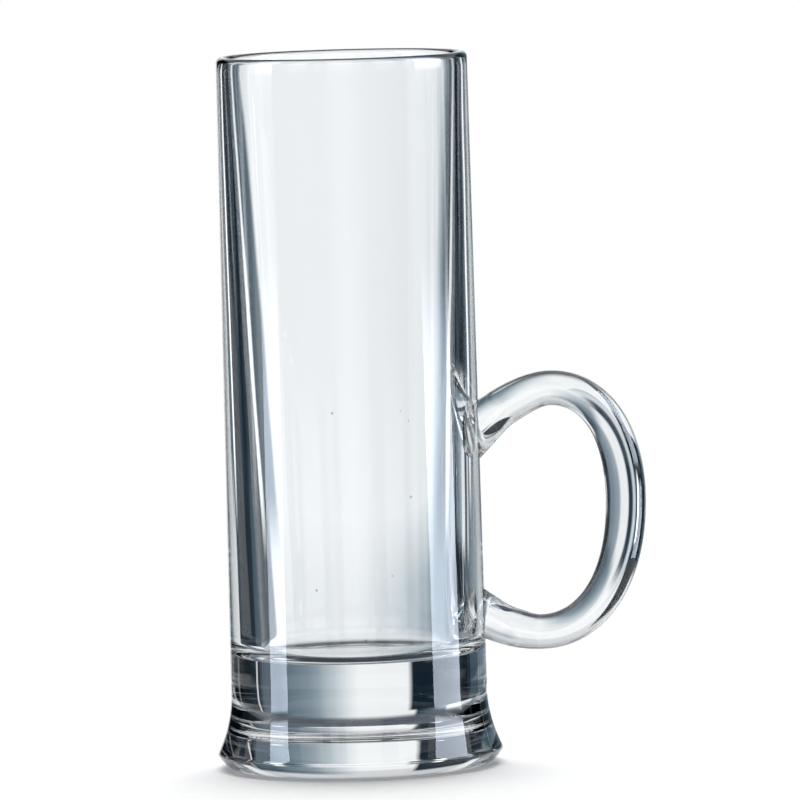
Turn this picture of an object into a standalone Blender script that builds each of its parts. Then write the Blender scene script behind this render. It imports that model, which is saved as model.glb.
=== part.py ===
"""Handled shot glass: a pressed tumbler with a thick solid base, and a glass handle applied to its side.

Metres, +Z up. The origin is the middle of the flat underside and the handle stands towards +X.
"""
import math

import bmesh
import bpy

# Tumbler, outside. Radii are measured from the upright axis.
OVERALL_HEIGHT = 0.106
RIM_RADIUS = 0.01866
WALL_SPREAD = 0.00043        # the wall is this much wider at the top of the foot than at the rim
FLARE_HEIGHT = 0.0114        # where the wall starts to spread into the foot
FOOT_SPREAD = 0.00222        # how far the foot stands out beyond the wall
FOOT_EDGE_HEIGHT = 0.00215   # the widest line of the foot
HEEL_INSET = 0.0020          # from the widest line in to the flat underside
HEEL_POWER = 1.6             # 1 is a round heel, 2 is a straight bevel

# Tumbler, inside.
RIM_WALL = 0.00172           # wall at the rim, which is rounded over its whole width
FLOOR_WALL = 0.0045          # wall at the floor of the bore
BASE_THICKNESS = 0.0163      # solid glass under the floor
FLOOR_FILLET = 0.0028        # rounded corner between the floor and the wall

# Handle. It is a round rod bent in the XZ plane; its heights hang on the foot and its reach on the wall.
LOWER_ROOT_RISE = 0.01035    # lower root above the start of the flare
ROOT_SPACING = 0.02835       # upper root above the lower one
HANDLE_REACH = 0.0216        # middle of the rod at its widest, out from the wall
CROWN_OUT = 0.0107           # highest point of the rod, out from the wall
CROWN_RISE = 0.00535         # highest point of the rod, above the upper root
BELLY_OUT = 0.0084           # lowest point of the rod, out from the wall
BELLY_DROP = 0.0027          # lowest point of the rod, under the lower root
WIDEST_SHARE = 0.61          # height of the widest point between the two roots
ARM_OUT = 0.0040             # where the flared root has become the plain rod, out from the wall
UPPER_ARM_RISE = 0.0029      # the rod there, above the upper root
LOWER_ARM_DROP = 0.00185     # the rod there, under the lower root
ROD_AT_WIDEST = 0.0060       # thickness of the rod at its widest point from the wall
ROD_AT_CROWN = 0.0052
ROD_AT_BELLY = 0.0052
ROD_AT_ARM = 0.0058
UPPER_ROOT_RATIO = 1.42      # thickness at the end of the root over that of the plain rod
LOWER_ROOT_RATIO = 1.30
UPPER_ARM_SLOPE = math.radians(30)
LOWER_ARM_SLOPE = math.radians(17)
CORNER_FULLNESS = 0.60       # pull of the curve at its two outer corners, 0.55 is an ellipse
ROOT_SINK = 0.0045           # how deep the rod runs on behind the wall before it is trimmed
JOINT_GAP = 0.0003           # clearance between the handle's trimmed ends and the wall

# Clear glass.
GLASS_TINT = (0.93, 0.96, 0.97, 1.0)
GLASS_ROUGHNESS = 0.02
GLASS_IOR = 1.52

# Fineness of the faceted surfaces.
TURN_STEPS = 64
ARC_STEPS = 6
WALL_STEPS = 4
ROD_STEPS = 9
ROD_ROUND = 6
SMOOTH_ANGLE = math.radians(35)
WELD_DISTANCE = 0.00001


def wall_radius(height):
    """Outer radius of the plain wall, carried on in a straight line below the flare."""
    share = (OVERALL_HEIGHT - height) / (OVERALL_HEIGHT - FLARE_HEIGHT)
    return RIM_RADIUS + WALL_SPREAD * share


def outer_profile():
    """Outer side as (radius, height), from the top of the rim down to the flat underside."""
    lip = RIM_WALL / 2
    points = []
    for i in range(ARC_STEPS):
        turn = math.pi / 2 * (1 - i / ARC_STEPS)
        radius = wall_radius(OVERALL_HEIGHT) - lip + lip * math.cos(turn)
        points.append((radius, OVERALL_HEIGHT - lip + lip * math.sin(turn)))
    top = OVERALL_HEIGHT - lip
    for i in range(WALL_STEPS):
        height = top + (FLARE_HEIGHT - top) * i / WALL_STEPS
        points.append((wall_radius(height), height))
    for i in range(ARC_STEPS + 1):
        share = i / ARC_STEPS
        height = FLARE_HEIGHT + (FOOT_EDGE_HEIGHT - FLARE_HEIGHT) * share
        points.append((wall_radius(FLARE_HEIGHT) + FOOT_SPREAD * share ** 2, height))
    rest = wall_radius(FLARE_HEIGHT) + FOOT_SPREAD - HEEL_INSET
    for i in range(1, ARC_STEPS + 1):
        turn = math.pi / 2 * i / ARC_STEPS
        radius = rest + HEEL_INSET * max(math.cos(turn), 0.0) ** HEEL_POWER
        points.append((radius, FOOT_EDGE_HEIGHT * (1 - math.sin(turn) ** HEEL_POWER)))
    return points


def bore_profile():
    """Inner side as (radius, height), from the middle of the floor up to the top of the rim."""
    lip = RIM_WALL / 2
    floor_radius = wall_radius(BASE_THICKNESS) - FLOOR_WALL
    rim_radius = wall_radius(OVERALL_HEIGHT) - RIM_WALL
    points = [(0.0, BASE_THICKNESS), (floor_radius - FLOOR_FILLET, BASE_THICKNESS)]
    for i in range(1, ARC_STEPS):
        turn = math.pi / 2 * i / ARC_STEPS
        radius = floor_radius - FLOOR_FILLET * (1 - math.sin(turn))
        points.append((radius, BASE_THICKNESS + FLOOR_FILLET * (1 - math.cos(turn))))
    low = BASE_THICKNESS + FLOOR_FILLET
    high = OVERALL_HEIGHT - lip
    for i in range(WALL_STEPS):
        share = i / WALL_STEPS
        points.append((floor_radius + (rim_radius - floor_radius) * share, low + (high - low) * share))
    for i in range(ARC_STEPS):
        turn = math.pi * (1 - i / (2 * ARC_STEPS))
        radius = rim_radius + lip + lip * math.cos(turn)
        points.append((radius, high + lip * math.sin(turn)))
    return points


def turned(name, profile, collection):
    """A solid of revolution: the profile as a chain of edges, spun about Z."""
    mesh = bpy.data.meshes.new(name)
    corners = [(radius, 0.0, height) for radius, height in profile]
    mesh.from_pydata(corners, [(i, i + 1) for i in range(len(corners) - 1)], [])
    piece = bpy.data.objects.new(name, mesh)
    collection.objects.link(piece)
    spin = piece.modifiers.new("Spin", "SCREW")
    spin.steps = TURN_STEPS
    spin.render_steps = TURN_STEPS
    spin.use_merge_vertices = True
    spin.merge_threshold = WELD_DISTANCE
    spin.use_smooth_shade = True
    return piece


def glass(name):
    """Clear soda-lime glass, with its own copy for each sub-part."""
    material = bpy.data.materials.new(name)
    material.use_nodes = True
    shader = material.node_tree.nodes["Principled BSDF"]
    shader.inputs["Base Color"].default_value = GLASS_TINT
    shader.inputs["Roughness"].default_value = GLASS_ROUGHNESS
    shader.inputs["IOR"].default_value = GLASS_IOR
    shader.inputs["Transmission Weight"].default_value = 1.0
    return material


for old in list(bpy.data.objects):
    bpy.data.objects.remove(old, do_unlink=True)

parts = bpy.data.collections.new("handled_shot_glass")
cutters = bpy.data.collections.new("cutters")
bpy.context.scene.collection.children.link(parts)
bpy.context.scene.collection.children.link(cutters)

# The tumbler: wall, solid base and foot are one piece of pressed glass.
tumbler = turned("tumbler", bore_profile() + outer_profile() + [(0.0, 0.0)], parts)
tumbler.data.materials.append(glass("tumbler_glass"))

# The handle runs from the upper root over the crown, down the outside and back to the lower root.
lower_root = FLARE_HEIGHT + LOWER_ROOT_RISE
upper_root = lower_root + ROOT_SPACING
widest = lower_root + ROOT_SPACING * WIDEST_SHARE
upper_wall = wall_radius(upper_root)
lower_wall = wall_radius(lower_root)
crown = (upper_wall + CROWN_OUT, upper_root + CROWN_RISE)
outermost = (upper_wall + HANDLE_REACH, widest)
belly = (lower_wall + BELLY_OUT, lower_root - BELLY_DROP)
upper_arm = (upper_wall + ARM_OUT, upper_root + UPPER_ARM_RISE)
lower_arm = (lower_wall + ARM_OUT, lower_root - LOWER_ARM_DROP)
upper_end = (upper_wall - ROOT_SINK, upper_root - ROOT_SINK * UPPER_ARM_RISE / ARM_OUT)
lower_end = (lower_wall - ROOT_SINK, lower_root + ROOT_SINK * LOWER_ARM_DROP / ARM_OUT)

# Each knot is its place, the way the rod runs through it, the pulls before and after it, and its thickness.
right = (1.0, 0.0)
down = (0.0, -1.0)
left = (-1.0, 0.0)
upper_way = (math.cos(UPPER_ARM_SLOPE), math.sin(UPPER_ARM_SLOPE))
lower_way = (-math.cos(LOWER_ARM_SLOPE), math.sin(LOWER_ARM_SLOPE))
root_pull = (ROOT_SINK + ARM_OUT) / 3
upper_pull = (crown[0] - upper_arm[0]) / 3
lower_pull = (belly[0] - lower_arm[0]) / 3
crown_pull = (outermost[0] - crown[0]) * CORNER_FULLNESS
belly_pull = (outermost[0] - belly[0]) * CORNER_FULLNESS
fall_pull = (crown[1] - outermost[1]) * CORNER_FULLNESS
turn_pull = (outermost[1] - belly[1]) * CORNER_FULLNESS
knots = [
    (upper_end, upper_way, root_pull, root_pull, ROD_AT_ARM * UPPER_ROOT_RATIO),
    (upper_arm, upper_way, root_pull, upper_pull, ROD_AT_ARM),
    (crown, right, upper_pull, crown_pull, ROD_AT_CROWN),
    (outermost, down, fall_pull, turn_pull, ROD_AT_WIDEST),
    (belly, left, belly_pull, lower_pull, ROD_AT_BELLY),
    (lower_arm, lower_way, lower_pull, root_pull, ROD_AT_ARM),
    (lower_end, lower_way, root_pull, root_pull, ROD_AT_ARM * LOWER_ROOT_RATIO),
]
path = bpy.data.curves.new("handle_path", "CURVE")
path.dimensions = "3D"
path.bevel_depth = 1.0
path.bevel_resolution = ROD_ROUND
path.use_fill_caps = True
path.resolution_u = ROD_STEPS
line = path.splines.new("BEZIER")
line.radius_interpolation = "EASE"
line.bezier_points.add(len(knots) - 1)
for point, (place, way, before, after, thickness) in zip(line.bezier_points, knots):
    point.co = (place[0], 0.0, place[1])
    point.handle_left_type = "FREE"
    point.handle_right_type = "FREE"
    point.handle_left = (place[0] - way[0] * before, 0.0, place[1] - way[1] * before)
    point.handle_right = (place[0] + way[0] * after, 0.0, place[1] + way[1] * after)
    point.radius = thickness / 2
rod = bpy.data.objects.new("handle_path", path)
bpy.context.scene.collection.objects.link(rod)

# The rod becomes a mesh, and its caps are welded on.
bpy.context.view_layer.update()
shape = bpy.data.meshes.new_from_object(rod.evaluated_get(bpy.context.evaluated_depsgraph_get()))
shape.name = "handle"
work = bmesh.new()
work.from_mesh(shape)
bmesh.ops.remove_doubles(work, verts=work.verts, dist=WELD_DISTANCE)
bmesh.ops.recalc_face_normals(work, faces=work.faces)
work.to_mesh(shape)
work.free()
handle = bpy.data.objects.new("handle", shape)
parts.objects.link(handle)
bpy.data.objects.remove(rod, do_unlink=True)
shape.materials.clear()
shape.materials.append(glass("handle_glass"))

# Its two ends are trimmed to the outside of the tumbler, a joint's width clear of the wall.
grown = [(radius + JOINT_GAP, height) for radius, height in outer_profile()]
trimmer = turned("handle_trimmer", [(0.0, OVERALL_HEIGHT)] + grown + [(0.0, 0.0)], cutters)
trimmer.hide_render = True
trimmer.display_type = "WIRE"
trim = handle.modifiers.new("Trim", "BOOLEAN")
trim.operation = "DIFFERENCE"
trim.solver = "EXACT"
trim.object = trimmer

# Round faces shade smooth; the trimmed edges stay crisp.
for piece in (tumbler, handle):
    piece.data.shade_smooth()
    piece.data.set_sharp_from_angle(angle=SMOOTH_ANGLE)
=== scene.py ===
import math

import bmesh
import bpy
from mathutils import Matrix, Vector


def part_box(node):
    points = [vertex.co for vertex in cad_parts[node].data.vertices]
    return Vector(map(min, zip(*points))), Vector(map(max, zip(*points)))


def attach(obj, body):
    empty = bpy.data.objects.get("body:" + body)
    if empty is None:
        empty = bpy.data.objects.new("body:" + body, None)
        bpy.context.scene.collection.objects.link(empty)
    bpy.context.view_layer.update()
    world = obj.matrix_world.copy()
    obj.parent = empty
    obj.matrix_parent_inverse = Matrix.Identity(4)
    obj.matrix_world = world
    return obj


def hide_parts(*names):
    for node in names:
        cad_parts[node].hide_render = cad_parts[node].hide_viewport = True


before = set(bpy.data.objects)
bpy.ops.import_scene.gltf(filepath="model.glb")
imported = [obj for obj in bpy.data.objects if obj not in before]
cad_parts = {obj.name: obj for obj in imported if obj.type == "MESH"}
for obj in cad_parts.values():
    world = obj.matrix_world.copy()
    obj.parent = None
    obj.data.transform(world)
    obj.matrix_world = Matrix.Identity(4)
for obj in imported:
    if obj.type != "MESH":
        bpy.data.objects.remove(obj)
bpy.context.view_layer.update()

# Tumbler: one piece of clear soda-lime glass, pressed in a mould by a plunger that leaves the tapered bore.
# It has a thick solid base, a foot that flares out to a rounded heel, and a rim that is fire polished.
MM = 0.001
tumbler_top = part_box("tumbler")[1]
GLASS_HEIGHT = tumbler_top[2]
FOOT_RADIUS = tumbler_top[1]
RIM_RADIUS = 18.66 * MM
RIM_WALL = 1.72 * MM
WALL_SPREAD = 0.43 * MM
FLARE_HEIGHT = 11.4 * MM
FOOT_EDGE_HEIGHT = 2.15 * MM
HEEL_INSET = 2.0 * MM
HEEL_POWER = 1.6
FLOOR_WALL = 4.5 * MM
BASE_THICKNESS = 16.3 * MM
FLOOR_FILLET = 2.8 * MM
TURN_STEPS = 160
CURVE_STEPS = 20
ROW_HEIGHT = 1.4 * MM
WELD_DISTANCE = 0.002 * MM


def wall_radius(height):
    """Outer radius of the plain wall, carried on in a straight line below the flare."""
    return RIM_RADIUS + WALL_SPREAD * (GLASS_HEIGHT - height) / (GLASS_HEIGHT - FLARE_HEIGHT)


def straight(start, end):
    """Points along a line in short rows, both ends left out."""
    steps = max(round(math.dist(start, end) / ROW_HEIGHT), 1)
    shares = [step / steps for step in range(1, steps)]
    return [(start[0] + (end[0] - start[0]) * s, start[1] + (end[1] - start[1]) * s) for s in shares]


def arc(centre, radius, start, end):
    """Points on a circle from one angle to another, both in degrees."""
    turns = [math.radians(start + (end - start) * step / CURVE_STEPS) for step in range(CURVE_STEPS + 1)]
    return [(centre[0] + radius * math.cos(t), centre[1] + radius * math.sin(t)) for t in turns]


lip = RIM_WALL / 2
rim_middle = (RIM_RADIUS - lip, GLASS_HEIGHT - lip)
floor_radius = wall_radius(BASE_THICKNESS) - FLOOR_WALL
floor_corner = (floor_radius - FLOOR_FILLET, BASE_THICKNESS + FLOOR_FILLET)
flare_radius = wall_radius(FLARE_HEIGHT)
rest_radius = FOOT_RADIUS - HEEL_INSET
# The outline runs from the middle of the bore's floor up the bore, over the rim and down to the underside.
profile = [(0.0, BASE_THICKNESS)] + straight((0.0, BASE_THICKNESS), (floor_corner[0], BASE_THICKNESS))
profile += arc(floor_corner, FLOOR_FILLET, -90, 0)
profile += straight((floor_radius, floor_corner[1]), (RIM_RADIUS - RIM_WALL, rim_middle[1]))
profile += arc(rim_middle, lip, 180, 0)
profile += straight((RIM_RADIUS, rim_middle[1]), (flare_radius, FLARE_HEIGHT))
for step in range(CURVE_STEPS + 1):
    share = step / CURVE_STEPS
    height = FLARE_HEIGHT + (FOOT_EDGE_HEIGHT - FLARE_HEIGHT) * share
    profile.append((flare_radius + (FOOT_RADIUS - flare_radius) * share ** 2, height))
for step in range(1, CURVE_STEPS + 1):
    turn = math.radians(90) * step / CURVE_STEPS
    radius = rest_radius + HEEL_INSET * max(math.cos(turn), 0.0) ** HEEL_POWER
    profile.append((radius, FOOT_EDGE_HEIGHT * (1 - math.sin(turn) ** HEEL_POWER)))
profile += straight((rest_radius, 0.0), (0.0, 0.0)) + [(0.0, 0.0)]


def add(tree, kind, inputs=None, **settings):
    """Adds one node: settings are its properties, and each input gets a value or another node's output."""
    node = tree.nodes.new(kind)
    for name, value in settings.items():
        setattr(node, name, value)
    for key, value in (inputs or {}).items():
        if isinstance(value, bpy.types.NodeSocket):
            tree.links.new(value, node.inputs[key])
        else:
            node.inputs[key].default_value = value
    return node


def linear(hex_colour):
    """An sRGB hex colour as linear RGBA."""
    channels = [int(hex_colour[i:i + 2], 16) / 255 for i in (1, 3, 5)]
    return [c / 12.92 if c <= 0.04045 else ((c + 0.055) / 1.055) ** 2.4 for c in channels] + [1.0]


GLASS_TINT = "#FBFDFE"
GLASS_IOR = 1.52
SEED_TINT = "#7C848C"
SEED_SPACING = 8 * MM
SEED_RADIUS = 0.25 * MM  # about twice the real size, so that they show
RIPPLE_STRETCH = 3.0


def clear_glass(name, roughness, ripple_width, ripple_depth):
    """Soda-lime glass: clear, nearly colourless, with faint upright ripples and a few tiny bubbles."""
    material = bpy.data.materials.new(name)
    material.use_nodes = True
    tree = material.node_tree
    shader = tree.nodes["Principled BSDF"]
    shader.inputs["Roughness"].default_value = roughness
    shader.inputs["IOR"].default_value = GLASS_IOR
    shader.inputs["Transmission Weight"].default_value = 1.0
    place = add(tree, "ShaderNodeTexCoord").outputs["Object"]
    drawn = add(tree, "ShaderNodeMapping", {"Vector": place, "Scale": (1.0, 1.0, 1 / RIPPLE_STRETCH)})
    ripple = add(tree, "ShaderNodeTexNoise", {
        "Vector": drawn.outputs[0], "Scale": 1 / ripple_width, "Detail": 1.0})
    wavy = add(tree, "ShaderNodeBump", {
        "Height": ripple.outputs[0], "Distance": ripple_depth, "Strength": 1.0})
    tree.links.new(wavy.outputs[0], shader.inputs["Normal"])
    seeds = add(tree, "ShaderNodeTexVoronoi", {"Vector": place, "Scale": 1 / SEED_SPACING})
    clear = add(tree, "ShaderNodeMapRange", {
        "Value": seeds.outputs["Distance"], "From Min": SEED_RADIUS / SEED_SPACING / 2,
        "From Max": SEED_RADIUS / SEED_SPACING})
    tint = add(tree, "ShaderNodeMix", {
        "Factor": clear.outputs[0], 6: linear(SEED_TINT), 7: linear(GLASS_TINT)}, data_type="RGBA")
    tree.links.new(tint.outputs[2], shader.inputs["Base Color"])
    return material


# Pressed in an iron mould and fire polished: smooth, with a faint ripple from the mould and the plunger.
tumbler_glass = clear_glass(
    "pressed_soda_lime_glass", roughness=0.0, ripple_width=7 * MM, ripple_depth=0.02 * MM)


def tree_with(name, sockets):
    """A Geometry Nodes tree with geometry in and out and named inputs, and its input and output nodes."""
    tree = bpy.data.node_groups.new(name, "GeometryNodeTree")
    tree.interface.new_socket("Geometry", in_out="INPUT", socket_type="NodeSocketGeometry")
    for label, kind in sockets:
        tree.interface.new_socket(label, in_out="INPUT", socket_type=kind)
    tree.interface.new_socket("Geometry", in_out="OUTPUT", socket_type="NodeSocketGeometry")
    return tree, tree.nodes.new("NodeGroupInput"), tree.nodes.new("NodeGroupOutput")


def finish_tree(tree, geometry, glass, made):
    """Ends a tree: the shape is smooth, real and of one glass."""
    smooth = add(tree, "GeometryNodeSetShadeSmooth", {"Geometry": geometry})
    whole = add(tree, "GeometryNodeRealizeInstances", {"Geometry": smooth.outputs[0]})
    dressed = add(tree, "GeometryNodeSetMaterial", {"Geometry": whole.outputs[0], "Material": glass})
    tree.links.new(dressed.outputs[0], made.inputs[0])


turning, given, made = tree_with("turned_profile", [
    ("Turn Steps", "NodeSocketInt"), ("Weld Distance", "NodeSocketFloat"), ("Glass", "NodeSocketMaterial")])
points = add(turning, "GeometryNodeAttributeDomainSize", {"Geometry": given.outputs["Geometry"]})
rows = points.outputs["Point Count"]
columns = add(turning, "FunctionNodeIntegerMath", {0: given.outputs["Turn Steps"], 1: 1}, operation="ADD")
skin = add(turning, "GeometryNodeMeshGrid", {"Vertices X": columns.outputs[0], "Vertices Y": rows})
number = add(turning, "GeometryNodeInputIndex").outputs[0]
column = add(turning, "FunctionNodeIntegerMath", {0: number, 1: rows}, operation="DIVIDE_FLOOR")
row = add(turning, "FunctionNodeIntegerMath", {0: number, 1: rows}, operation="MODULO")
place = add(turning, "GeometryNodeInputPosition")
outline = add(turning, "GeometryNodeSampleIndex", {
    "Geometry": given.outputs["Geometry"], "Value": place.outputs[0], "Index": row.outputs[0]},
    data_type="FLOAT_VECTOR")
share = add(turning, "ShaderNodeMath", {
    0: column.outputs[0], 1: given.outputs["Turn Steps"]}, operation="DIVIDE")
angle = add(turning, "ShaderNodeMath", {0: share.outputs[0], 1: math.tau}, operation="MULTIPLY")
spun = add(turning, "ShaderNodeVectorRotate", {
    "Vector": outline.outputs[0], "Angle": angle.outputs[0]}, rotation_type="Z_AXIS")
wrapped = add(turning, "GeometryNodeSetPosition", {
    "Geometry": skin.outputs["Mesh"], "Position": spun.outputs[0]})
welded = add(turning, "GeometryNodeMergeByDistance", {
    "Geometry": wrapped.outputs[0], "Distance": given.outputs["Weld Distance"]})
finish_tree(turning, welded.outputs[0], given.outputs["Glass"], made)


def placed(name, data):
    """A new object at the origin, linked to the scene."""
    piece = bpy.data.objects.new(name, data)
    bpy.context.scene.collection.objects.link(piece)
    return piece


def baked(piece):
    """The object as its modifiers leave it, as a plain mesh; the object itself is removed."""
    bpy.context.view_layer.update()
    mesh = bpy.data.meshes.new_from_object(piece.evaluated_get(bpy.context.evaluated_depsgraph_get()))
    bpy.data.objects.remove(piece)
    return mesh


def shaped(piece, tree, sizes):
    """Runs a Geometry Nodes tree with its named inputs on an object and returns a plain mesh."""
    modifier = piece.modifiers.new(tree.name, "NODES")
    modifier.node_group = tree
    for item in tree.interface.items_tree:
        if item.in_out == "INPUT" and item.name in sizes:
            modifier[item.identifier] = sizes[item.name]
    return baked(piece)


def turned(name, outline_points, material):
    """A solid of revolution about Z as an object, from (radius, height) points."""
    line = bpy.data.meshes.new(name)
    edges = [(i, i + 1) for i in range(len(outline_points) - 1)]
    line.from_pydata([(radius, 0.0, height) for radius, height in outline_points], edges, [])
    mesh = shaped(placed(name, line), turning, {
        "Turn Steps": TURN_STEPS, "Weld Distance": WELD_DISTANCE, "Glass": material})
    mesh.name = name
    work = bmesh.new()
    work.from_mesh(mesh)
    bmesh.ops.recalc_face_normals(work, faces=work.faces)
    work.to_mesh(mesh)
    work.free()
    return placed(name, mesh)


tumbler = turned("glass_tumbler", profile, tumbler_glass)
tumbler.visible_shadow = False  # the shade in the floor's section casts its shadow
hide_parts("tumbler")
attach(tumbler, "root")

# Handle: a round rod of the same glass, drawn, bent to a ring while soft and pressed hot against the wall.
# It swells at both roots, where its ends take the shape of the wall and their edge leaves a crease.
LOWER_ROOT = FLARE_HEIGHT + 10.35 * MM
UPPER_ROOT = LOWER_ROOT + 28.35 * MM
WIDEST = LOWER_ROOT + 17.3 * MM
SINK = 4.5 * MM
ARM_OUT = 4.0 * MM
UPPER_ARM_RISE = 2.9 * MM
LOWER_ARM_DROP = 1.85 * MM
UPPER_SLOPE = math.radians(30)
LOWER_SLOPE = math.radians(17)
CROWN_OUT, CROWN_RISE = 10.7 * MM, 5.35 * MM
BELLY_OUT, BELLY_DROP = 8.4 * MM, 2.7 * MM
REACH = 21.6 * MM
FULLNESS = 0.60
ROD_THICK, ROD_ARM, ROD_WIDEST = 5.2 * MM, 5.8 * MM, 6.0 * MM
UPPER_ROOT_THICK, LOWER_ROOT_THICK = 8.24 * MM, 7.54 * MM
BOND_GAP = 0.02 * MM
TRIM_OVER_ROOT = 15 * MM
PATH_STEPS = 24
RINGS = 150
SECTION_POINTS = 48

upper_wall = wall_radius(UPPER_ROOT)
lower_wall = wall_radius(LOWER_ROOT)
crown = Vector((upper_wall + CROWN_OUT, UPPER_ROOT + CROWN_RISE))
outermost = Vector((upper_wall + REACH, WIDEST))
belly = Vector((lower_wall + BELLY_OUT, LOWER_ROOT - BELLY_DROP))
upper_arm = Vector((upper_wall + ARM_OUT, UPPER_ROOT + UPPER_ARM_RISE))
lower_arm = Vector((lower_wall + ARM_OUT, LOWER_ROOT - LOWER_ARM_DROP))
upper_end = Vector((upper_wall - SINK, UPPER_ROOT - SINK * UPPER_ARM_RISE / ARM_OUT))
lower_end = Vector((lower_wall - SINK, LOWER_ROOT + SINK * LOWER_ARM_DROP / ARM_OUT))
upper_way = Vector((math.cos(UPPER_SLOPE), math.sin(UPPER_SLOPE)))
lower_way = Vector((-math.cos(LOWER_SLOPE), math.sin(LOWER_SLOPE)))
right, down, left = Vector((1, 0)), Vector((0, -1)), Vector((-1, 0))
root_pull = (SINK + ARM_OUT) / 3
upper_pull = (crown.x - upper_arm.x) / 3
lower_pull = (belly.x - lower_arm.x) / 3
crown_pull = (outermost.x - crown.x) * FULLNESS
belly_pull = (outermost.x - belly.x) * FULLNESS
# Each knot holds its place, its direction, the pulls of the curve before and after it, and the thickness.
knots = [
    (upper_end, upper_way, root_pull, root_pull, UPPER_ROOT_THICK),
    (upper_arm, upper_way, root_pull, upper_pull, ROD_ARM),
    (crown, right, upper_pull, crown_pull, ROD_THICK),
    (outermost, down, (crown.y - WIDEST) * FULLNESS, (WIDEST - belly.y) * FULLNESS, ROD_WIDEST),
    (belly, left, belly_pull, lower_pull, ROD_THICK),
    (lower_arm, lower_way, lower_pull, root_pull, ROD_ARM),
    (lower_end, lower_way, root_pull, root_pull, LOWER_ROOT_THICK),
]


def rod_points():
    """(place, thickness) along the rod: a cubic from knot to knot, its thickness easing over."""
    points = []
    for (start, way_out, _, pull, thick), (end, way_in, back, _, thin) in zip(knots, knots[1:]):
        for step in range(PATH_STEPS):
            t = step / PATH_STEPS
            ease = t * t * (3 - 2 * t)
            place = (start * (1 - t) ** 3 + (start + way_out * pull) * 3 * t * (1 - t) ** 2
                     + (end - way_in * back) * 3 * t * t * (1 - t) + end * t ** 3)
            points.append((place, thick + (thin - thick) * ease))
    return points + [(knots[-1][0], knots[-1][-1])]


rod_line = rod_points()
path = bpy.data.curves.new("handle_path", "CURVE")
path.dimensions = "3D"
line = path.splines.new("POLY")
line.points.add(len(rod_line) - 1)
for point, (place, thickness) in zip(line.points, rod_line):
    point.co = (place.x, 0.0, place.y, 1.0)
    point.radius = thickness / 2

drawing, given, made = tree_with("round_rod", [
    ("Rings", "NodeSocketInt"), ("Section Points", "NodeSocketInt"), ("Weld Distance", "NodeSocketFloat"),
    ("Glass", "NodeSocketMaterial")])
rings = add(drawing, "GeometryNodeResampleCurve", {
    "Curve": given.outputs["Geometry"], "Count": given.outputs["Rings"]})
section = add(drawing, "GeometryNodeCurvePrimitiveCircle", {
    "Resolution": given.outputs["Section Points"], "Radius": 1.0})
swell = add(drawing, "GeometryNodeInputRadius")
rod = add(drawing, "GeometryNodeCurveToMesh", {
    "Curve": rings.outputs[0], "Profile Curve": section.outputs["Curve"], "Scale": swell.outputs[0],
    "Fill Caps": True})
welded = add(drawing, "GeometryNodeMergeByDistance", {
    "Geometry": rod.outputs[0], "Distance": given.outputs["Weld Distance"]})
finish_tree(drawing, welded.outputs[0], given.outputs["Glass"], made)

# Drawn by hand and bent while soft: a little less sharp than the pressed glass, with longer ripples.
handle_glass = clear_glass(
    "drawn_soda_lime_glass", roughness=0.02, ripple_width=9 * MM, ripple_depth=0.03 * MM)
rod_form = placed("rod_form", shaped(placed("handle_path", path), drawing, {
    "Rings": RINGS, "Section Points": SECTION_POINTS, "Weld Distance": WELD_DISTANCE,
    "Glass": handle_glass}))

# The wall trims both ends a hair's breadth clear of itself, so each piece is closed by its own glass. The
# trimmed faces come with the wall's material, which tells the edges that stay sharp.
trim_low, trim_high = FLARE_HEIGHT, UPPER_ROOT + TRIM_OVER_ROOT
wall_side = turned("wall_side", [
    (0.0, trim_high), (wall_radius(trim_high) + BOND_GAP, trim_high),
    (wall_radius(trim_low) + BOND_GAP, trim_low), (0.0, trim_low)], tumbler_glass)
trim = rod_form.modifiers.new("Trim", "BOOLEAN")
trim.operation = "DIFFERENCE"
trim.solver = "EXACT"
trim.material_mode = "TRANSFER"
trim.object = wall_side
handle_mesh = baked(rod_form)
bpy.data.objects.remove(wall_side)
work = bmesh.new()
work.from_mesh(handle_mesh)
for edge in work.edges:
    edge.smooth = len({face.material_index for face in edge.link_faces}) == 1
for face in work.faces:
    face.material_index = 0
    face.smooth = True
work.to_mesh(handle_mesh)
work.free()
handle_mesh.name = "glass_handle"
handle_mesh.materials.clear()
handle_mesh.materials.append(handle_glass)
handle = placed("glass_handle", handle_mesh)
handle.visible_shadow = False
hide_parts("handle")
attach(handle, "root")

# Floor: a sheet of white studio paper that fades into the white room, with the soft shadow of the glass.
# Glass lets most light through its wall and less through its base, so a shade that only lamps meet casts it.
# A narrow ring round the foot is the paper in that shadow, as the heel shows it.
FLOOR_DROP = 0.2 * MM
FLOOR_RADIUS = 120 * MM
FLOOR_FADE = 60 * MM
PAPER_TINT, PAPER_ROUGHNESS, PAPER_LIFT = "#F5F5F5", 0.9, 0.08
CONTACT_RADIUS, CONTACT_FADE = 28 * MM, 5 * MM
# The grey of the painted shadow on the paper round the foot.
PAINTED_SHADOW_GREY = "#5A6068"
SHADE_LOW, SHADE_HIGH = 8 * MM, 45 * MM
BASE_PASS = 0.08
WHITE = (1.0, 1.0, 1.0, 1.0)
ROUND_STEPS = 96


def stage_mesh(name, mesh, material, **seen):
    """A thing of the studio and not of the glass, met only by the kinds of ray that are named."""
    mesh.materials.clear()
    mesh.materials.append(material)
    thing = placed(name, mesh)
    for ray in ("camera", "diffuse", "glossy", "transmission", "shadow"):
        setattr(thing, "visible_" + ray, seen.get(ray, False))


def bare_material(name):
    """A material with no nodes yet, and its tree."""
    material = bpy.data.materials.new(name)
    material.use_nodes = True
    material.node_tree.nodes.clear()
    return material, material.node_tree


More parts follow.
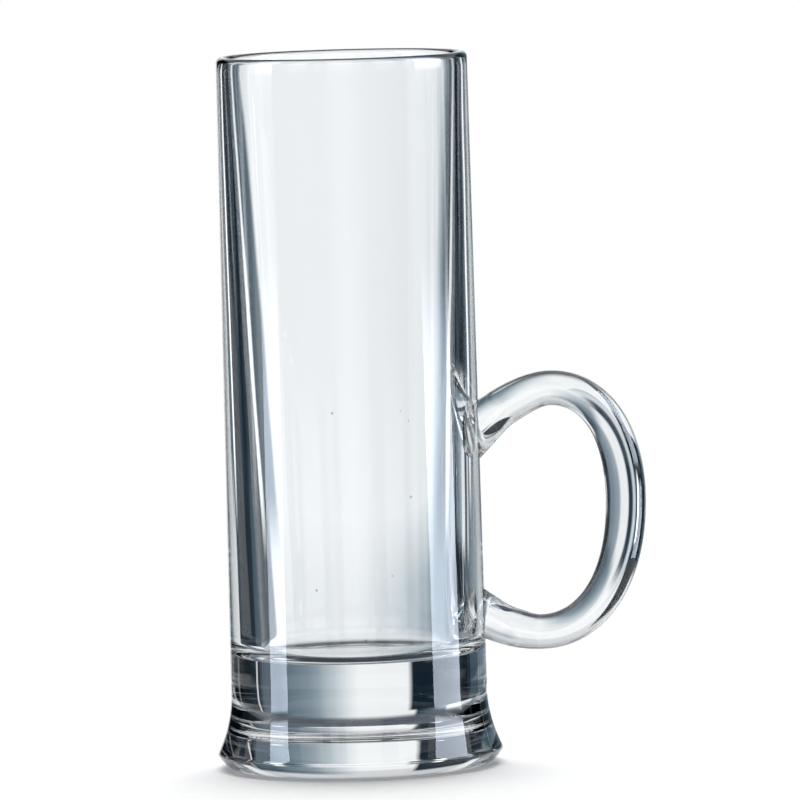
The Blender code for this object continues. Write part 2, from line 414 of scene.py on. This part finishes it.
# Matt paper, nearly white and without shine; a faint glow brings it up to the white of the room.
paper, tree = bare_material("white_studio_paper")
rays = add(tree, "ShaderNodeLightPath")
seen = add(tree, "ShaderNodeMath", {
    0: rays.outputs["Is Camera Ray"], 1: rays.outputs["Is Glossy Ray"]}, operation="MAXIMUM")
lift = add(tree, "ShaderNodeMath", {0: seen.outputs[0], 1: PAPER_LIFT}, operation="MULTIPLY")
sheet = add(tree, "ShaderNodeBsdfPrincipled", {
    "Base Color": linear(PAPER_TINT), "Roughness": PAPER_ROUGHNESS, "Specular IOR Level": 0.0,
    "Emission Color": WHITE, "Emission Strength": lift.outputs[0]})
spot = add(tree, "ShaderNodeTexCoord")
reach = add(tree, "ShaderNodeVectorMath", {0: spot.outputs["Object"]}, operation="LENGTH")
fade = add(tree, "ShaderNodeMapRange", {
    "Value": reach.outputs["Value"], "From Min": FLOOR_RADIUS - FLOOR_FADE, "From Max": FLOOR_RADIUS},
    interpolation_type="SMOOTHSTEP")
white = add(tree, "ShaderNodeEmission", {"Color": WHITE, "Strength": 1.0})
swept = add(tree, "ShaderNodeMixShader", {0: fade.outputs[0], 1: sheet.outputs[0], 2: white.outputs[0]})
add(tree, "ShaderNodeOutputMaterial", {"Surface": swept.outputs[0]})
floor_mesh = bpy.data.meshes.new("floor")
work = bmesh.new()
bmesh.ops.create_circle(work, cap_ends=True, radius=FLOOR_RADIUS, segments=ROUND_STEPS)
work.to_mesh(floor_mesh)
work.free()
floor_mesh.transform(Matrix.Translation((0.0, 0.0, -FLOOR_DROP)))
stage_mesh("floor", floor_mesh, paper, camera=True, diffuse=True, glossy=True, shadow=True)

# Painted shadow: the same paper close to the foot, where little light gets in, as a cool grey glow with a
# soft outer edge.
in_shadow, tree = bare_material("paper_in_shadow")
spot = add(tree, "ShaderNodeTexCoord")
reach = add(tree, "ShaderNodeVectorMath", {0: spot.outputs["Object"]}, operation="LENGTH")
fade = add(tree, "ShaderNodeMapRange", {
    "Value": reach.outputs["Value"], "From Min": CONTACT_RADIUS, "From Max": CONTACT_RADIUS + CONTACT_FADE},
    interpolation_type="SMOOTHSTEP")
grey = add(tree, "ShaderNodeEmission", {"Color": linear(PAINTED_SHADOW_GREY), "Strength": 1.0})
gone = add(tree, "ShaderNodeBsdfTransparent")
faded = add(tree, "ShaderNodeMixShader", {0: fade.outputs[0], 1: grey.outputs[0], 2: gone.outputs[0]})
add(tree, "ShaderNodeOutputMaterial", {"Surface": faded.outputs[0]})
contact_mesh = bpy.data.meshes.new("contact_ring")
work = bmesh.new()
bmesh.ops.create_cone(
    work, segments=ROUND_STEPS, radius1=FOOT_RADIUS, radius2=CONTACT_RADIUS + CONTACT_FADE,
    depth=FLOOR_DROP)
work.to_mesh(contact_mesh)
work.free()
stage_mesh("contact_ring", contact_mesh, in_shadow, transmission=True)

# What glass holds back of the light: nearly all of it low in the solid base, and ever less further up.
shade, tree = bare_material("shade_of_glass")
spot = add(tree, "ShaderNodeTexCoord")
parts = add(tree, "ShaderNodeSeparateXYZ", {0: spot.outputs["Object"]})
passed = add(tree, "ShaderNodeMapRange", {
    "Value": parts.outputs["Z"], "From Min": SHADE_LOW, "From Max": SHADE_HIGH, "To Min": BASE_PASS})
held = add(tree, "ShaderNodeBsdfDiffuse")
clear = add(tree, "ShaderNodeBsdfTransparent")
mixed = add(tree, "ShaderNodeMixShader", {0: passed.outputs[0], 1: held.outputs[0], 2: clear.outputs[0]})
add(tree, "ShaderNodeOutputMaterial", {"Surface": mixed.outputs[0]})
shade_form = turned("shade", [
    (0.0, SHADE_HIGH), (wall_radius(SHADE_HIGH), SHADE_HIGH), (flare_radius, FLARE_HEIGHT),
    (FOOT_RADIUS, FOOT_EDGE_HEIGHT), (rest_radius, 0.0), (0.0, 0.0)], shade)
shade_mesh = shade_form.data.copy()
bpy.data.objects.remove(shade_form)
stage_mesh("shade", shade_mesh, shade, shadow=True)

# Cards: half a ring of lit and dark cards stands behind the glass, tall lit strips stand at its sides, and a
# small graded card stands behind the handle. They draw the lines along the edges of wall, foot and handle;
# rays from the base pass under the ring to the room beyond.
RING_LOW_RADIUS, RING_HIGH_RADIUS = 0.45, 1.0
RING_LOW, RING_HIGH, RING_FADE = -32 * MM, 45 * MM, 8 * MM
RING_SHADES = (
    (-45, 0.05), (-39, 0.05), (-37, 0.004), (-33, 0.004), (-30, 0.02), (-26, 0.03), (-24.8, 1.6),
    (-22.4, 1.6), (-20.5, 0.09), (-13.5, 0.15), (-12, 1.06), (0, 1.06), (4, 1.0), (12, 0.90), (14, 0.60),
    (16, 0.28), (18, 0.08), (22, 0.06), (24, 1.3), (27, 1.3), (28.5, 0.10), (34, 0.05), (38, 0.02),
    (41, 0.004), (45, 0.004))
DIM_RED, DIM_BLUE = 0.2, -0.12
STRIP_DISTANCE = 0.6
STRIP_LOW, STRIP_HIGH = -0.455, 0.700
STRIP_GAP, STRIP_GAP_HALF, STRIP_FADE = 0.0625, 0.0125, 0.040
STRIP_TINT, STRIP_GLOW = "#E0ECFC", 9.0
STRIPS = (("right_strip", -4.0, 0.35), ("left_strip", -166.0, 0.20))
GRADED_BEHIND = 25 * MM
GRADED_LEFT, GRADED_RIGHT = 33 * MM, 60 * MM
GRADED_HALF, GRADED_FADE = 16 * MM, 6 * MM
# Places are in millimetres along X.
GRADES = ((33, 0.5), (34.2, 0.72), (35.2, 0.66), (36.2, 0.12), (36.8, 0.04), (38.6, 0.04), (39.4, 0.75),
          (40.0, 0.93), (44.2, 0.93), (45.4, 0.55), (46.2, 0.37), (48.8, 0.33), (53.4, 0.24), (60, 0.15))


def card_shades(tree, along, shades):
    """A row of cards as (place from 0 to 1, brightness) pairs, a little bluer where they are dimmer."""
    ramp = add(tree, "ShaderNodeValToRGB", {0: along})
    marks = ramp.color_ramp.elements
    for number, (place, shade) in enumerate(shades):
        mark = marks[0] if number == 0 else marks[-1] if number == len(shades) - 1 else marks.new(place)
        mark.position = place
        dimness = min(shade, 1.0)
        mark.color = (shade * dimness ** DIM_RED, shade, shade * dimness ** DIM_BLUE, 1.0)
    return ramp.outputs[0]


def cards_around(tree, parts, middle, shades):
    """Cards round the glass, alike in each quarter turn: pairs of degrees off its middle and brightness."""
    turn = add(tree, "ShaderNodeMath", {0: parts.outputs["X"], 1: parts.outputs["Y"]}, operation="ARCTAN2")
    quarters = add(tree, "ShaderNodeMath", {
        0: turn.outputs[0], 1: 2 / math.pi, 2: 0.5 - middle / 90}, operation="MULTIPLY_ADD")
    share = add(tree, "ShaderNodeMath", {0: quarters.outputs[0]}, operation="FRACT")
    return card_shades(tree, share.outputs[0], [(degrees / 90 + 0.5, shade) for degrees, shade in shades])


def upright_sheet(name, left, right, low, high):
    """A flat upright sheet in the XZ plane."""
    sheet = bpy.data.meshes.new(name)
    corners = [(left, 0.0, low), (right, 0.0, low), (right, 0.0, high), (left, 0.0, high)]
    sheet.from_pydata(corners, [], [(0, 1, 2, 3)])
    return sheet


# White and black card side by side: bright and dark lines with soft edges, which fade out at their foot.
card, tree = bare_material("lit_and_dark_card")
spot = add(tree, "ShaderNodeTexCoord")
parts = add(tree, "ShaderNodeSeparateXYZ", {0: spot.outputs["Object"]})
lines = cards_around(tree, parts, 0, RING_SHADES)
glow = add(tree, "ShaderNodeEmission", {"Color": lines, "Strength": 1.0})
gone = add(tree, "ShaderNodeBsdfTransparent")
solid = add(tree, "ShaderNodeMapRange", {
    "Value": parts.outputs["Z"], "From Min": RING_LOW, "From Max": RING_LOW + RING_FADE})
faded = add(tree, "ShaderNodeMixShader", {0: solid.outputs[0], 1: gone.outputs[0], 2: glow.outputs[0]})
add(tree, "ShaderNodeOutputMaterial", {"Surface": faded.outputs[0]})
ring_mesh = bpy.data.meshes.new("card_ring")
work = bmesh.new()
bmesh.ops.create_cone(
    work, segments=ROUND_STEPS, radius1=RING_LOW_RADIUS, radius2=RING_HIGH_RADIUS,
    depth=RING_HIGH - RING_LOW)
in_front = [face for face in work.faces if face.calc_center_median().y < 0]
bmesh.ops.delete(work, geom=in_front, context="FACES")
work.to_mesh(ring_mesh)
work.free()
ring_mesh.transform(Matrix.Translation((0.0, 0.0, (RING_LOW + RING_HIGH) / 2)))
stage_mesh("card_ring", ring_mesh, card, transmission=True)

# White card in daylight, a little blue: a bright upright line on the foot and the wall, with one soft gap.
strip, tree = bare_material("lit_strip_card")
spot = add(tree, "ShaderNodeTexCoord")
parts = add(tree, "ShaderNodeSeparateXYZ", {0: spot.outputs["Object"]})
off_middle = add(tree, "ShaderNodeMath", {0: parts.outputs["Z"], 1: STRIP_GAP}, operation="SUBTRACT")
off_middle = add(tree, "ShaderNodeMath", {0: off_middle.outputs[0]}, operation="ABSOLUTE")
level = add(tree, "ShaderNodeMapRange", {
    "Value": off_middle.outputs[0], "From Min": STRIP_GAP_HALF, "From Max": STRIP_GAP_HALF + STRIP_FADE,
    "To Max": STRIP_GLOW}, interpolation_type="SMOOTHSTEP")
glow = add(tree, "ShaderNodeEmission", {"Color": linear(STRIP_TINT), "Strength": level.outputs[0]})
add(tree, "ShaderNodeOutputMaterial", {"Surface": glow.outputs[0]})
for name, turn, width in STRIPS:
    strip_mesh = upright_sheet(name, -width / 2, width / 2, STRIP_LOW, STRIP_HIGH)
    strip_mesh.transform(Matrix.Translation((0.0, STRIP_DISTANCE, 0.0)))
    strip_mesh.transform(Matrix.Rotation(math.radians(turn - 90), 4, "Z"))
    stage_mesh(name, strip_mesh, strip, glossy=True)

# Card sprayed from dark to white and back, which gives the rod its pale middle and dark edges.
graded, tree = bare_material("graded_card")
spot = add(tree, "ShaderNodeTexCoord")
parts = add(tree, "ShaderNodeSeparateXYZ", {0: spot.outputs["Object"]})
across = add(tree, "ShaderNodeMapRange", {
    "Value": parts.outputs["X"], "From Min": GRADED_LEFT, "From Max": GRADED_RIGHT})
grades = card_shades(tree, across.outputs[0], [
    ((place * MM - GRADED_LEFT) / (GRADED_RIGHT - GRADED_LEFT), shade) for place, shade in GRADES])
glow = add(tree, "ShaderNodeEmission", {"Color": grades, "Strength": 1.0})
gone = add(tree, "ShaderNodeBsdfTransparent")
off_middle = add(tree, "ShaderNodeMath", {0: parts.outputs["Z"], 1: WIDEST}, operation="SUBTRACT")
off_middle = add(tree, "ShaderNodeMath", {0: off_middle.outputs[0]}, operation="ABSOLUTE")
fade = add(tree, "ShaderNodeMapRange", {
    "Value": off_middle.outputs[0], "From Min": GRADED_HALF - GRADED_FADE, "From Max": GRADED_HALF},
    interpolation_type="SMOOTHSTEP")
faded = add(tree, "ShaderNodeMixShader", {0: fade.outputs[0], 1: glow.outputs[0], 2: gone.outputs[0]})
add(tree, "ShaderNodeOutputMaterial", {"Surface": faded.outputs[0]})
graded_mesh = upright_sheet(
    "graded_card", GRADED_LEFT, GRADED_RIGHT, WIDEST - GRADED_HALF, WIDEST + GRADED_HALF)
graded_mesh.transform(Matrix.Translation((0.0, GRADED_BEHIND, 0.0)))
stage_mesh("graded_card", graded_mesh, graded, transmission=True)

# Room: white for the camera and dim for the paper. For the glass it has white walls with dark gaps between
# them, alike from each side, which fall off upwards and downwards; a large softbox lights the paper.
# Each edge is a soft step between two angles, in degrees, of a ray from the plane square to its side.
EDGES = {
    "over_base": ("up", -10, -8.5), "over_foot": ("up", -20, -18), "over_floor": ("up", -54, -30),
    "over_walls": ("up", 11, 16), "over_heel": ("up", 18, 24), "to_ceiling": ("up", 44, 58),
    "at_back": ("back", 11.5, 17.5), "far_back": ("back", 39.8, 46), "at_right": ("right", -5.7, 0),
}
WALL_SHADES = (
    (-45, 0.012), (-17.6, 0.015), (-15.8, 0.96), (0, 0.96), (2, 0.88), (5, 0.73), (7.7, 0.58), (10.3, 0.48),
    (13, 0.34), (16, 0.27), (20, 0.22), (25, 0.18), (29, 0.10), (38, 0.09), (40, 0.012), (45, 0.012))
CORNER_SHADES = (
    (-45, 0.95), (-33, 0.95), (-31, 0.03), (-26, 0.03), (-24.5, 0.95), (-19, 0.95), (-17.5, 0.20),
    (-11.5, 0.22), (-10, 1.0), (10, 1.0), (11.5, 0.22), (17.5, 0.15), (25, 0.03), (26.5, 0.95), (45, 0.95))
CORNER = 45
BACK_LEFT = (-math.sqrt(0.5), math.sqrt(0.5), 0.0)
FALL_START, FALL_END, FALL_SHARE = 24, 44, 0.6
HEEL_SHARE = 0.75
FRONT_RIGHT_SHARE, FRONT_EDGE = 0.25, 8.1
THIN_LINES = ((42.0, 0.6), (63.0, 1.3))
THIN_LINE_SHADE = (0.8, 0.8, 0.8, 1.0)
UPPER_WALL = (0.66, 0.68, 0.70, 1.0)
CEILING_DARK = (0.02, 0.022, 0.026, 1.0)
FLOOR_DARK = (0.05, 0.06, 0.07, 1.0)
PAPER_LIGHT = 0.12
SOFTBOX_SIZE, SOFTBOX_GLOW = 1.0, 4.6
SOFTBOX_PLACE = Vector((0.0, 0.45, 0.9))
world = bpy.data.worlds.new("studio")
bpy.context.scene.world = world
world.use_nodes = True
tree = world.node_tree
tree.nodes.clear()
way = add(tree, "ShaderNodeTexCoord").outputs["Generated"]
parts = add(tree, "ShaderNodeSeparateXYZ", {0: way})
sides = {"right": parts.outputs["X"], "back": parts.outputs["Y"], "up": parts.outputs["Z"]}
past = {}
for name, (side, low, high) in EDGES.items():
    past[name] = add(tree, "ShaderNodeMapRange", {
        "Value": sides[side], "From Min": math.sin(math.radians(low)),
        "From Max": math.sin(math.radians(high))}, interpolation_type="SMOOTHSTEP").outputs[0]

walls = cards_around(tree, parts, 0, WALL_SHADES)
corners = cards_around(tree, parts, CORNER, CORNER_SHADES)
turn = add(tree, "ShaderNodeMath", {0: parts.outputs["X"], 1: parts.outputs["Y"]}, operation="ARCTAN2")
for degrees, half_width in THIN_LINES:
    on_line = add(tree, "ShaderNodeMath", {
        0: turn.outputs[0], 1: math.radians(degrees), 2: math.radians(half_width)}, operation="COMPARE")
    walls = add(tree, "ShaderNodeMix", {
        "Factor": on_line.outputs[0], 6: walls, 7: THIN_LINE_SHADE}, data_type="RGBA").outputs[2]
back_left = add(tree, "ShaderNodeVectorMath", {0: way, 1: BACK_LEFT}, operation="DOT_PRODUCT")
share = add(tree, "ShaderNodeMapRange", {
    "Value": back_left.outputs["Value"], "From Min": -math.sin(math.radians(FRONT_EDGE)),
    "From Max": math.sin(math.radians(FRONT_EDGE)), "To Min": FRONT_RIGHT_SHARE},
    interpolation_type="SMOOTHSTEP")
walls = add(tree, "ShaderNodeVectorMath", {
    0: walls, "Scale": share.outputs[0]}, operation="SCALE").outputs[0]
heel = add(tree, "ShaderNodeVectorMath", {0: walls, "Scale": HEEL_SHARE}, operation="SCALE")
heel = add(tree, "ShaderNodeMix", {
    "Factor": past["over_heel"], 6: heel.outputs[0], 7: UPPER_WALL}, data_type="RGBA")
upper = add(tree, "ShaderNodeMix", {
    "Factor": past["far_back"], 6: corners, 7: heel.outputs[2]}, data_type="RGBA")
upright = add(tree, "ShaderNodeMix", {
    "Factor": past["over_walls"], 6: walls, 7: upper.outputs[2]}, data_type="RGBA")
fall = add(tree, "ShaderNodeMapRange", {
    "Value": parts.outputs["Z"], "From Min": math.sin(math.radians(FALL_START)),
    "From Max": math.sin(math.radians(FALL_END)), "To Min": 1.0, "To Max": FALL_SHARE},
    interpolation_type="SMOOTHSTEP")
upright = add(tree, "ShaderNodeVectorMath", {
    0: upright.outputs[2], "Scale": fall.outputs[0]}, operation="SCALE")
upright = add(tree, "ShaderNodeMix", {
    "Factor": past["to_ceiling"], 6: upright.outputs[0], 7: CEILING_DARK}, data_type="RGBA")
behind = add(tree, "ShaderNodeMath", {0: past["over_foot"], 1: past["at_right"]}, operation="MAXIMUM")
behind = add(tree, "ShaderNodeMath", {0: behind.outputs[0], 1: past["at_back"]}, operation="MULTIPLY")
to_wall = add(tree, "ShaderNodeMath", {0: behind.outputs[0], 1: past["over_base"]}, operation="MAXIMUM")
room = add(tree, "ShaderNodeMix", {
    "Factor": to_wall.outputs[0], 6: corners, 7: upright.outputs[2]}, data_type="RGBA")
room = add(tree, "ShaderNodeMix", {
    "Factor": past["over_floor"], 6: FLOOR_DARK, 7: room.outputs[2]}, data_type="RGBA")
rays = add(tree, "ShaderNodeLightPath")
by_glass = add(tree, "ShaderNodeMath", {
    0: rays.outputs["Is Transmission Ray"], 1: rays.outputs["Is Glossy Ray"]}, operation="MAXIMUM")
striped = add(tree, "ShaderNodeBackground", {"Color": room.outputs[2], "Strength": 1.0})
plain = add(tree, "ShaderNodeBackground", {"Color": WHITE, "Strength": 1.0})
dim = add(tree, "ShaderNodeBackground", {"Color": WHITE, "Strength": PAPER_LIGHT})
both = add(tree, "ShaderNodeMixShader", {
    0: rays.outputs["Is Camera Ray"], 1: dim.outputs[0], 2: plain.outputs[0]})
all_three = add(tree, "ShaderNodeMixShader", {
    0: by_glass.outputs[0], 1: both.outputs[0], 2: striped.outputs[0]})
add(tree, "ShaderNodeOutputWorld", {"Surface": all_three.outputs[0]})

overhead = bpy.data.lights.new("overhead_softbox", "AREA")
overhead.size = SOFTBOX_SIZE
overhead.energy = SOFTBOX_GLOW * math.pi * SOFTBOX_SIZE ** 2
softbox = placed("overhead_softbox", overhead)
softbox.location = SOFTBOX_PLACE
softbox.rotation_euler = (-SOFTBOX_PLACE).to_track_quat("-Z", "Y").to_euler()
softbox.visible_glossy = False
softbox.visible_transmission = False

# Camera: a long lens from a little above the rim, aimed past the middle so that the handle fits, and rolled.
# Light takes many turns inside the rim and the base before it leaves, so rays bounce more often than usual.
CAMERA_DISTANCE = 1.5
CAMERA_HEIGHT = 165.9 * MM
AIM = Vector((7.30 * MM, 0.0, 54.25 * MM))
SENSOR_WIDTH, LENS = 36.0, 454.9
NEAREST, FARTHEST = 0.05, 20.0
ROLL = math.radians(1.60)
PASSES, REFLECTIONS, ALL_BOUNCES = 24, 14, 40
camera = bpy.data.cameras.new("camera")
camera.sensor_width = SENSOR_WIDTH
camera.lens = LENS
camera.clip_start, camera.clip_end = NEAREST, FARTHEST
viewer = placed("camera", camera)
eye = Vector((0.0, -CAMERA_DISTANCE, CAMERA_HEIGHT))
gaze = (AIM - eye).to_track_quat("-Z", "Y").to_matrix().to_4x4()
viewer.matrix_world = Matrix.Translation(eye) @ gaze @ Matrix.Rotation(-ROLL, 4, "Z")
scene = bpy.context.scene
scene.camera = viewer
scene.view_settings.view_transform = "Standard"
scene.cycles.transmission_bounces = PASSES
scene.cycles.glossy_bounces = REFLECTIONS
scene.cycles.max_bounces = ALL_BOUNCES
